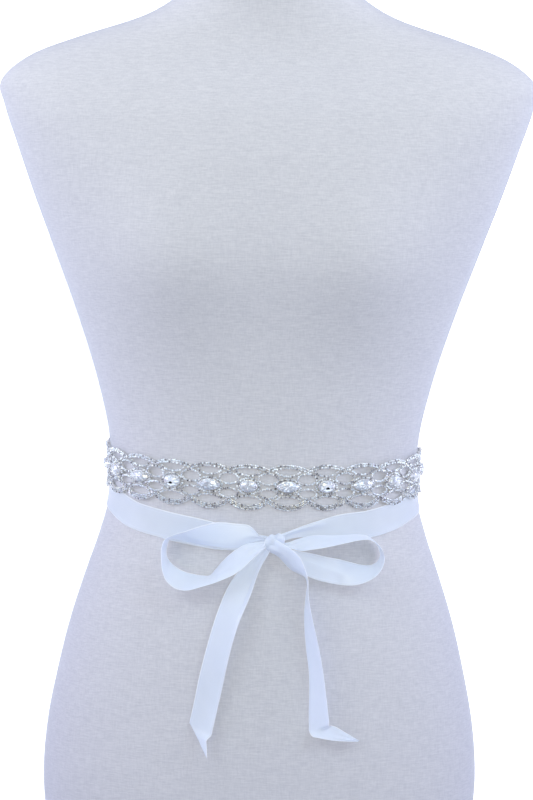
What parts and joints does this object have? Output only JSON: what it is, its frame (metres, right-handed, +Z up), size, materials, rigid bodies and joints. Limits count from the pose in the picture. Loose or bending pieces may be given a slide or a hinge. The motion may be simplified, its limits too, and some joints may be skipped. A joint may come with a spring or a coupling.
{
  "type": "rhinestone belt on a dress form",
  "caption": "Openwork rhinestone belt with a satin ribbon tied in a bow, worn round the waist of a limbless cloth-covered dress form.",
  "frame": {"origin": "on the form's flat base, under the middle of its waist", "axes": "+Z up through the form; -Y out of its front, where the bow is; +X towards the viewer's right as seen from the front"},
  "size_m": [0.4266, 0.2403, 0.733],
  "materials": {
    "form_cloth": "matt off-white jersey, pulled tight",
    "satin": "white double-faced satin",
    "silver_setting": "silver-plated cups and chain",
    "crystal": "cut clear stones, foiled at the back"
  },
  "bodies": {
    "root": {"form_torso": "form_cloth", "applique": "silver_setting", "stone_oval_01": "crystal", "stone_navette_02": "crystal", "stone_oval_03": "crystal", "stone_navette_04": "crystal", "stone_oval_05": "crystal", "stone_navette_06": "crystal", "stone_oval_07": "crystal", "stone_navette_08": "crystal", "stone_oval_09": "crystal", "stone_navette_10": "crystal", "stone_oval_11": "crystal", "stone_navette_12": "crystal", "stone_oval_13": "crystal", "stone_navette_14": "crystal", "ribbon_wrap_left": "satin", "ribbon_wrap_right": "satin", "bow_knot": "satin", "bow_loop_left": "satin", "bow_loop_right": "satin", "bow_tail_left": "satin", "bow_tail_right": "satin"}
  },
  "joints": []
}
